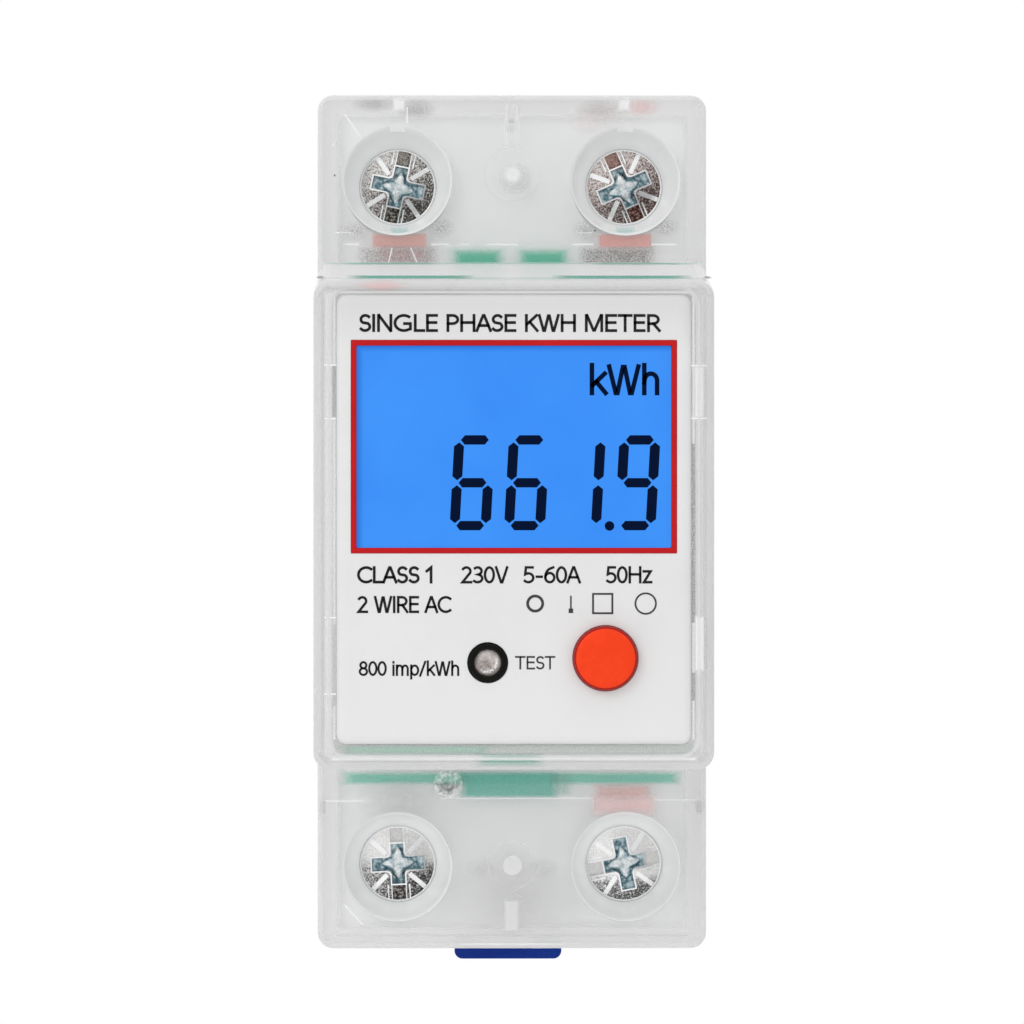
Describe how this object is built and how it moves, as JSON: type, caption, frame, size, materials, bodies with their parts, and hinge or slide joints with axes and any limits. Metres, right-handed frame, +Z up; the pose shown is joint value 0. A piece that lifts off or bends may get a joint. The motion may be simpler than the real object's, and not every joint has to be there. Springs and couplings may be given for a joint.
{
  "type": "smart electric meter",
  "caption": "Single-phase energy meter for a 35 mm rail: frosted clear case, white label plate with a blue backlit display, red button, pulse lamp, clamp terminals and a blue rail clip.",
  "frame": {"origin": "centre of the flat seat on the back that rests on the rail's flanges, halfway across the width and on the rail's centre line", "axes": "+X right as seen from the front, +Y back towards the rail, +Z up"},
  "size_m": [0.036, 0.0659, 0.0829],
  "materials": {
    "case": "frosted clear polycarbonate, lightly textured",
    "label": "satin white with dark grey printing",
    "lcd_border": "red, satin",
    "lcd": "blue backlit display glass",
    "diffuser": "white diffusing plastic",
    "rubber": "layered conductive rubber",
    "button": "red orange, satin",
    "black_plastic": "black moulded",
    "lamp": "clear lamp lens",
    "circuit_board": "green solder mask over copper",
    "yellow_plastic": "yellow box capacitor",
    "blue_component": "blue lacquer and sleeve",
    "can": "drawn metal can",
    "copper": "bare copper bar, slightly dulled",
    "tinned": "tinned bar",
    "manganin": "resistance alloy strip",
    "lead_red": "red insulation",
    "lead_black": "black insulation",
    "zinc_screw": "bright zinc plated steel",
    "cage_steel": "zinc plated steel",
    "seal_clear": "clear polycarbonate",
    "clip_blue": "dark blue moulded plastic"
  },
  "bodies": {
    "housing": {"rear_housing": "case", "front_cover": "case", "label_plate": "label", "lcd_bezel": "lcd_border", "lcd_glass": "lcd", "lcd_backlight": "diffuser", "lcd_holder": "diffuser", "lcd_zebra_strip": "rubber", "tact_switch_body": "black_plastic", "metering_chip": "black_plastic", "microcontroller": "black_plastic", "bridge_rectifier": "black_plastic", "board_connector": "black_plastic", "pulse_led_ring": "black_plastic", "pulse_led": "lamp", "main_board": "circuit_board", "display_board": "circuit_board", "film_capacitor": "yellow_plastic", "electrolytic_capacitor": "blue_component", "varistor": "blue_component", "fusible_resistor": "blue_component", "crystal": "can", "neutral_busbar": "copper", "live_out_busbar": "copper", "live_in_busbar": "tinned", "current_shunt": "manganin", "sense_lead_upper": "lead_red", "live_tap_lead": "lead_red", "sense_lead_lower": "lead_black"},
    "screw_upper_left": {"terminal_screw_upper_left": "zinc_screw"},
    "cage_upper_left": {"lift_cage_upper_left": "cage_steel"},
    "screw_upper_right": {"terminal_screw_upper_right": "zinc_screw"},
    "cage_upper_right": {"lift_cage_upper_right": "cage_steel"},
    "screw_lower_left": {"terminal_screw_lower_left": "zinc_screw"},
    "cage_lower_left": {"lift_cage_lower_left": "cage_steel"},
    "screw_lower_right": {"terminal_screw_lower_right": "zinc_screw"},
    "cage_lower_right": {"lift_cage_lower_right": "cage_steel"},
    "button": {"button_cap": "button"},
    "switch_plunger": {"tact_switch_plunger": "can"},
    "rail_clip": {"din_clip": "clip_blue"},
    "sealing_screw": {"seal_screw": "seal_clear"}
  },
  "joints": [
    {"name": "screw_upper_left_turn", "type": "hinge", "parent": "housing", "child": "screw_upper_left", "pos_m": [-0.0106, -0.03, 0.0312], "axis": [0, 1, 0], "range_deg": [0, 2521]},
    {"name": "cage_upper_left_lift", "type": "slide", "parent": "housing", "child": "cage_upper_left", "axis": [0, -1, 0], "range_m": [0, 0.0056]},
    {"name": "screw_upper_right_turn", "type": "hinge", "parent": "housing", "child": "screw_upper_right", "pos_m": [0.0105, -0.03, 0.0312], "axis": [0, 1, 0], "range_deg": [0, 2521]},
    {"name": "cage_upper_right_lift", "type": "slide", "parent": "housing", "child": "cage_upper_right", "axis": [0, -1, 0], "range_m": [0, 0.0056]},
    {"name": "screw_lower_left_turn", "type": "hinge", "parent": "housing", "child": "screw_lower_left", "pos_m": [-0.0106, -0.03, -0.0319], "axis": [0, 1, 0], "range_deg": [0, 2521]},
    {"name": "cage_lower_left_lift", "type": "slide", "parent": "housing", "child": "cage_lower_left", "axis": [0, -1, 0], "range_m": [0, 0.0056]},
    {"name": "screw_lower_right_turn", "type": "hinge", "parent": "housing", "child": "screw_lower_right", "pos_m": [0.0105, -0.03, -0.0319], "axis": [0, 1, 0], "range_deg": [0, 2521]},
    {"name": "cage_lower_right_lift", "type": "slide", "parent": "housing", "child": "cage_lower_right", "axis": [0, -1, 0], "range_m": [0, 0.0056]},
    {"name": "button_press", "type": "slide", "parent": "housing", "child": "button", "axis": [0, 1, 0], "range_m": [0, 0.0005], "stiffness_N_per_m": 2500, "springref_m": -0.0004},
    {"name": "switch_plunger_press", "type": "slide", "parent": "housing", "child": "switch_plunger", "axis": [0, 1, 0], "range_m": [0, 0.00052]},
    {"name": "rail_clip_pull", "type": "slide", "parent": "housing", "child": "rail_clip", "axis": [0, 0, -1], "range_m": [0, 0.004], "stiffness_N_per_m": 2500, "springref_m": -0.002},
    {"name": "sealing_screw_turn", "type": "hinge", "parent": "housing", "child": "sealing_screw", "pos_m": [-0.0059, -0.03, -0.0242], "axis": [0, -1, 0], "range_deg": [0, 1080]}
  ],
  "couplings": [
    {"joint": "screw_upper_left_turn", "follows": "cage_upper_left_lift", "rad_per_m": 7854},
    {"joint": "screw_upper_right_turn", "follows": "cage_upper_right_lift", "rad_per_m": 7854},
    {"joint": "screw_lower_left_turn", "follows": "cage_lower_left_lift", "rad_per_m": 7854},
    {"joint": "screw_lower_right_turn", "follows": "cage_lower_right_lift", "rad_per_m": 7854},
    {"joint": "switch_plunger_press", "follows": "button_press", "ratio": 1}
  ]
}
